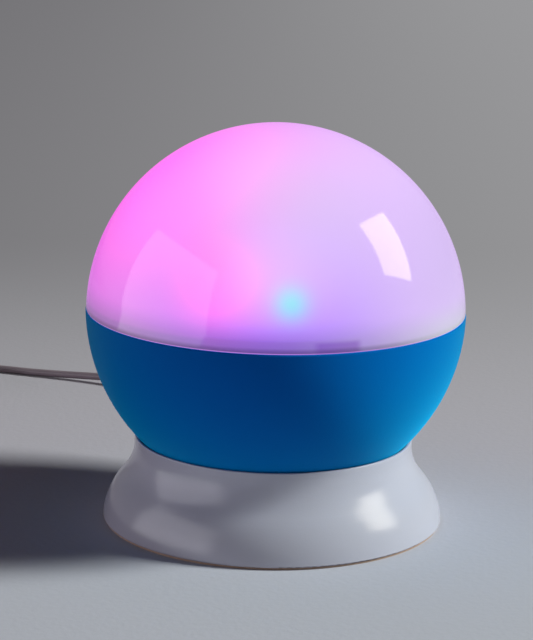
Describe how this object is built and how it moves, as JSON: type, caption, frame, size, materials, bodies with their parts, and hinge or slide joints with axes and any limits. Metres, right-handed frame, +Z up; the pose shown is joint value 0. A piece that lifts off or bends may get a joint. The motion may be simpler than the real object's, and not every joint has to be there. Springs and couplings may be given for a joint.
{
  "type": "galaxy projector",
  "caption": "Globe night light: milky cover over a perforated star mask on a blue bowl that a geared motor turns on a flared white base.",
  "frame": {"origin": "on the table under the middle of the base", "axes": "+Z up along the ball's axis, front at -Y, jack and keys at +Y"},
  "size_m": [0.2384, 0.2604, 0.1378],
  "materials": {
    "shell_white": "semi-gloss moulded white plastic",
    "foot_tan": "thin tan rubber",
    "bowl_blue": "satin blue plastic",
    "cover_milky": "milky diffusing plastic, glossy outside",
    "mask_black": "matt black plastic",
    "steel": "plated steel",
    "brass": "turned brass",
    "cell_jacket": "plain printed sleeve",
    "gear_plastic": "natural acetal",
    "circuit_board": "green circuit board",
    "led_red": "clear tinted resin",
    "led_green": "clear tinted resin",
    "led_blue": "clear tinted resin",
    "led_white": "clear resin",
    "black_plastic": "black moulded plastic",
    "lead_sheath": "soft grey sheath",
    "wire_red": "red insulation",
    "wire_blue": "blue insulation",
    "wire_black": "black insulation"
  },
  "bodies": {
    "base": {"base_shell": "shell_white", "base_plate": "shell_white", "foot_ring": "foot_tan", "plate_screws": "steel", "battery_tray": "shell_white", "battery_cells": "cell_jacket", "contact_plates": "steel", "contact_springs": "steel", "gear_motor": "steel", "motor_screws": "steel", "spindle": "gear_plastic", "spindle_screws": "steel", "thrust_washer": "brass", "hub_retainer": "steel", "lamp_post": "gear_plastic", "led_holder": "gear_plastic", "led_board": "circuit_board", "led_red": "led_red", "led_green": "led_green", "led_blue": "led_blue", "led_white": "led_white", "control_board": "circuit_board", "board_screws": "steel", "tact_switches": "black_plastic", "dc_jack": "black_plastic", "led_wires": "wire_red", "motor_wires": "wire_blue", "battery_wires": "wire_black", "lead_plug": "steel", "lead_grip": "lead_sheath", "lead_relief": "lead_sheath", "lead_run": "lead_sheath", "lead_coil": "lead_sheath", "usb_grip": "lead_sheath", "usb_shell": "steel"},
    "door": {"battery_door": "shell_white", "door_screw": "steel"},
    "ball": {"bowl": "bowl_blue", "drive_gear": "gear_plastic", "gear_screws": "steel"},
    "mask": {"star_mask": "mask_black"},
    "cover": {"night_cover": "cover_milky"},
    "pinion": {"motor_shaft": "steel", "motor_pinion": "gear_plastic"},
    "power_key": {"power_button": "shell_white", "power_plunger": "gear_plastic"},
    "mode_key": {"mode_button": "shell_white", "mode_plunger": "gear_plastic"},
    "spin_key": {"spin_button": "shell_white", "spin_plunger": "gear_plastic"}
  },
  "joints": [
    {"name": "ball_spin", "type": "hinge", "parent": "base", "child": "ball", "pos_m": [0, 0, 0.0225], "axis": [0, 0, 1], "continuous": true},
    {"name": "pinion_spin", "type": "hinge", "parent": "base", "child": "pinion", "pos_m": [-0.02574, 0.0216, 0.02], "axis": [0, 0, 1], "continuous": true},
    {"name": "mask_lift", "type": "slide", "parent": "ball", "child": "mask", "axis": [0, 0, 1], "range_m": [0, 0.07]},
    {"name": "cover_lift", "type": "slide", "parent": "mask", "child": "cover", "axis": [0, 0, 1], "range_m": [0, 0.07]},
    {"name": "power_press", "type": "slide", "parent": "base", "child": "power_key", "axis": [0, -1, 0], "range_m": [0, 0.0006], "stiffness_N_per_m": 300},
    {"name": "mode_press", "type": "slide", "parent": "base", "child": "mode_key", "axis": [0, -1, 0], "range_m": [0, 0.0006], "stiffness_N_per_m": 300},
    {"name": "spin_press", "type": "slide", "parent": "base", "child": "spin_key", "axis": [0, -1, 0], "range_m": [0, 0.0006], "stiffness_N_per_m": 300},
    {"name": "door_slide", "type": "slide", "parent": "base", "child": "door", "axis": [0, 0, -1], "range_m": [0, 0.02]}
  ],
  "couplings": [
    {"joint": "pinion_spin", "follows": "ball_spin", "ratio": -5}
  ]
}
